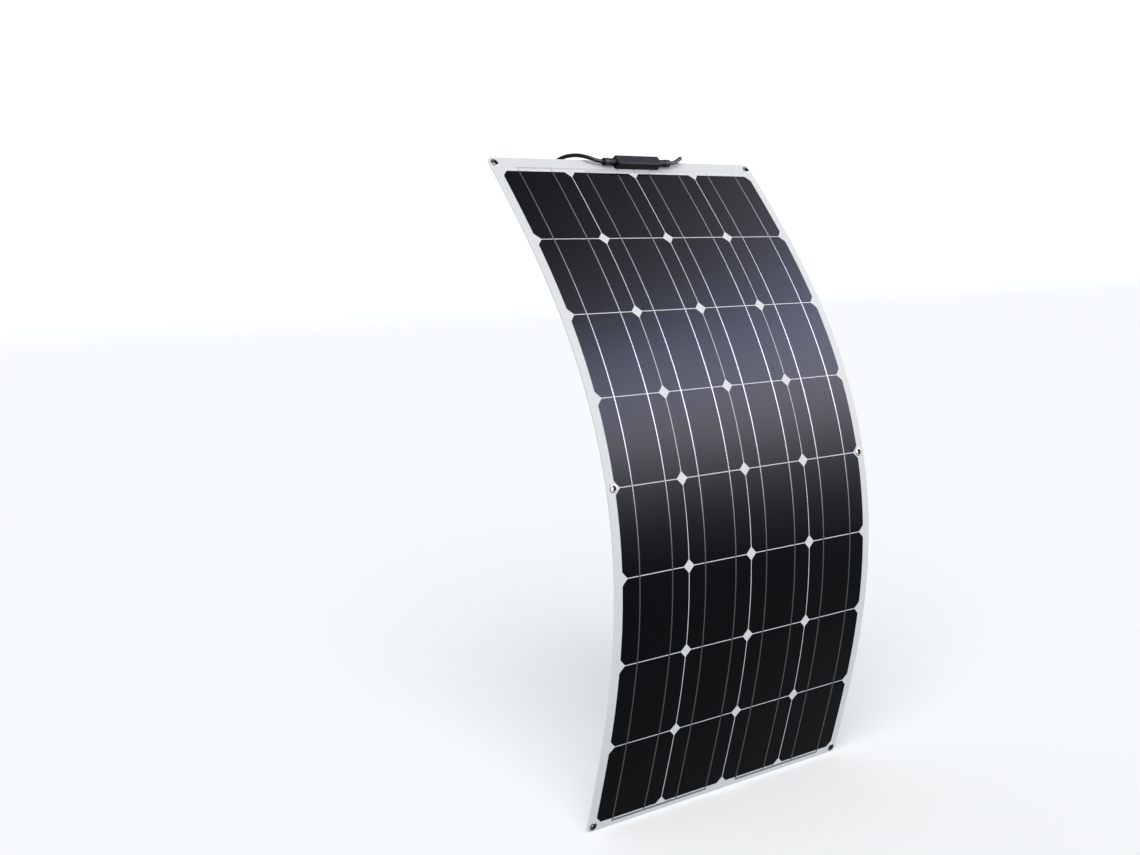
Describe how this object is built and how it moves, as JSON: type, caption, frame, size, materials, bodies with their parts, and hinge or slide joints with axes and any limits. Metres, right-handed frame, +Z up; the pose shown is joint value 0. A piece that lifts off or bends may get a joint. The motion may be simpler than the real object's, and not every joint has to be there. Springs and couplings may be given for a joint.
{
  "type": "flexible solar panel",
  "caption": "Thin bowed solar laminate of square cells on a white sheet with eyelets in its margins, a slim junction box at the top and two coiled leads.",
  "frame": {"origin": "middle of the sheet's back face at mid-length and mid-width", "axes": "+X across the sheet towards the viewer's right as the cells are faced, +Y out of the back, +Z up towards the margin with the junction box; the cells face -Y and the sheet leans back 12.3 degrees at the origin"},
  "size_m": [0.535, 0.3365, 0.9795],
  "materials": {
    "front_film": "clear glossy film with a fine texture",
    "encapsulant": "clear adhesive",
    "cells": "dark blue-black silicon under clear film",
    "ribbons": "tinned copper",
    "backsheet": "white laminate",
    "eyelets": "plated metal, slightly warm",
    "washers": "plated metal",
    "box": "satin black moulding",
    "adhesive_pad": "foam tape",
    "terminals": "stamped brass",
    "diodes": "moulded black",
    "potting": "cured resin",
    "gland_nuts": "satin black moulding",
    "seals": "soft rubber",
    "leads": "satin black cable jacket",
    "ties": "black nylon",
    "connectors": "satin black moulding",
    "contacts": "tinned copper"
  },
  "bodies": {
    "middle_rows": {"front_film_rows_4_5": "front_film", "encapsulant_rows_4_5": "encapsulant", "cells_rows_4_5": "cells", "ribbons_rows_4_5": "ribbons", "backsheet_rows_4_5": "backsheet", "eyelets_middle": "eyelets", "washers_middle": "washers"},
    "row_3": {"front_film_row_3": "front_film", "encapsulant_row_3": "encapsulant", "cells_row_3": "cells", "ribbons_row_3": "ribbons", "backsheet_row_3": "backsheet"},
    "row_2": {"front_film_row_2": "front_film", "encapsulant_row_2": "encapsulant", "cells_row_2": "cells", "ribbons_row_2": "ribbons", "backsheet_row_2": "backsheet"},
    "row_1": {"front_film_row_1": "front_film", "encapsulant_row_1": "encapsulant", "cells_row_1": "cells", "ribbons_row_1": "ribbons", "backsheet_row_1": "backsheet", "eyelets_top": "eyelets", "washers_top": "washers", "bus_ribbons_top": "ribbons", "junction_box_base": "box", "junction_box_lid": "box", "box_adhesive_pad": "adhesive_pad", "box_terminals": "terminals", "bypass_diodes": "diodes", "box_potting": "potting", "gland_nuts": "gland_nuts", "gland_seals": "seals", "lead_left": "leads", "lead_right": "leads", "lead_left_coil": "leads", "lead_right_coil": "leads", "coil_ties": "ties", "connector_sleeves": "connectors", "plug_housing": "connectors", "socket_housing": "connectors", "connector_contacts": "contacts"},
    "row_6": {"front_film_row_6": "front_film", "encapsulant_row_6": "encapsulant", "cells_row_6": "cells", "ribbons_row_6": "ribbons", "backsheet_row_6": "backsheet"},
    "row_7": {"front_film_row_7": "front_film", "encapsulant_row_7": "encapsulant", "cells_row_7": "cells", "ribbons_row_7": "ribbons", "backsheet_row_7": "backsheet"},
    "row_8": {"front_film_row_8": "front_film", "encapsulant_row_8": "encapsulant", "cells_row_8": "cells", "ribbons_row_8": "ribbons", "backsheet_row_8": "backsheet", "eyelets_bottom": "eyelets", "washers_bottom": "washers", "bus_ribbons_bottom": "ribbons"}
  },
  "joints": [
    {"name": "bend_row_3", "type": "hinge", "parent": "middle_rows", "child": "row_3", "pos_m": [0, 0.03703, 0.12094], "axis": [-1, 0, 0], "range_deg": [-15.1, 5.3], "stiffness_Nm_per_rad": 40},
    {"name": "bend_row_2", "type": "hinge", "parent": "row_3", "child": "row_2", "pos_m": [0, 0.09534, 0.23339], "axis": [-1, 0, 0], "range_deg": [-7.67, 2.7], "stiffness_Nm_per_rad": 40},
    {"name": "bend_row_1", "type": "hinge", "parent": "row_2", "child": "row_1", "pos_m": [0, 0.16821, 0.33716], "axis": [-1, 0, 0], "range_deg": [-4.42, 1.56], "stiffness_Nm_per_rad": 40},
    {"name": "bend_row_6", "type": "hinge", "parent": "middle_rows", "child": "row_6", "pos_m": [0, -0.01668, -0.12538], "axis": [1, 0, 0], "range_deg": [-15.1, 5.3], "stiffness_Nm_per_rad": 40},
    {"name": "bend_row_7", "type": "hinge", "parent": "row_6", "child": "row_7", "pos_m": [0, -0.01047, -0.25189], "axis": [1, 0, 0], "range_deg": [-7.67, 2.7], "stiffness_Nm_per_rad": 40},
    {"name": "bend_row_8", "type": "hinge", "parent": "row_7", "child": "row_8", "pos_m": [0, 0.01258, -0.37658], "axis": [1, 0, 0], "range_deg": [-4.42, 1.56], "stiffness_Nm_per_rad": 40}
  ],
  "couplings": [
    {"joint": "bend_row_2", "follows": "bend_row_3", "ratio": 0.507},
    {"joint": "bend_row_1", "follows": "bend_row_3", "ratio": 0.292},
    {"joint": "bend_row_6", "follows": "bend_row_3", "ratio": 1},
    {"joint": "bend_row_7", "follows": "bend_row_3", "ratio": 0.507},
    {"joint": "bend_row_8", "follows": "bend_row_3", "ratio": 0.292}
  ]
}
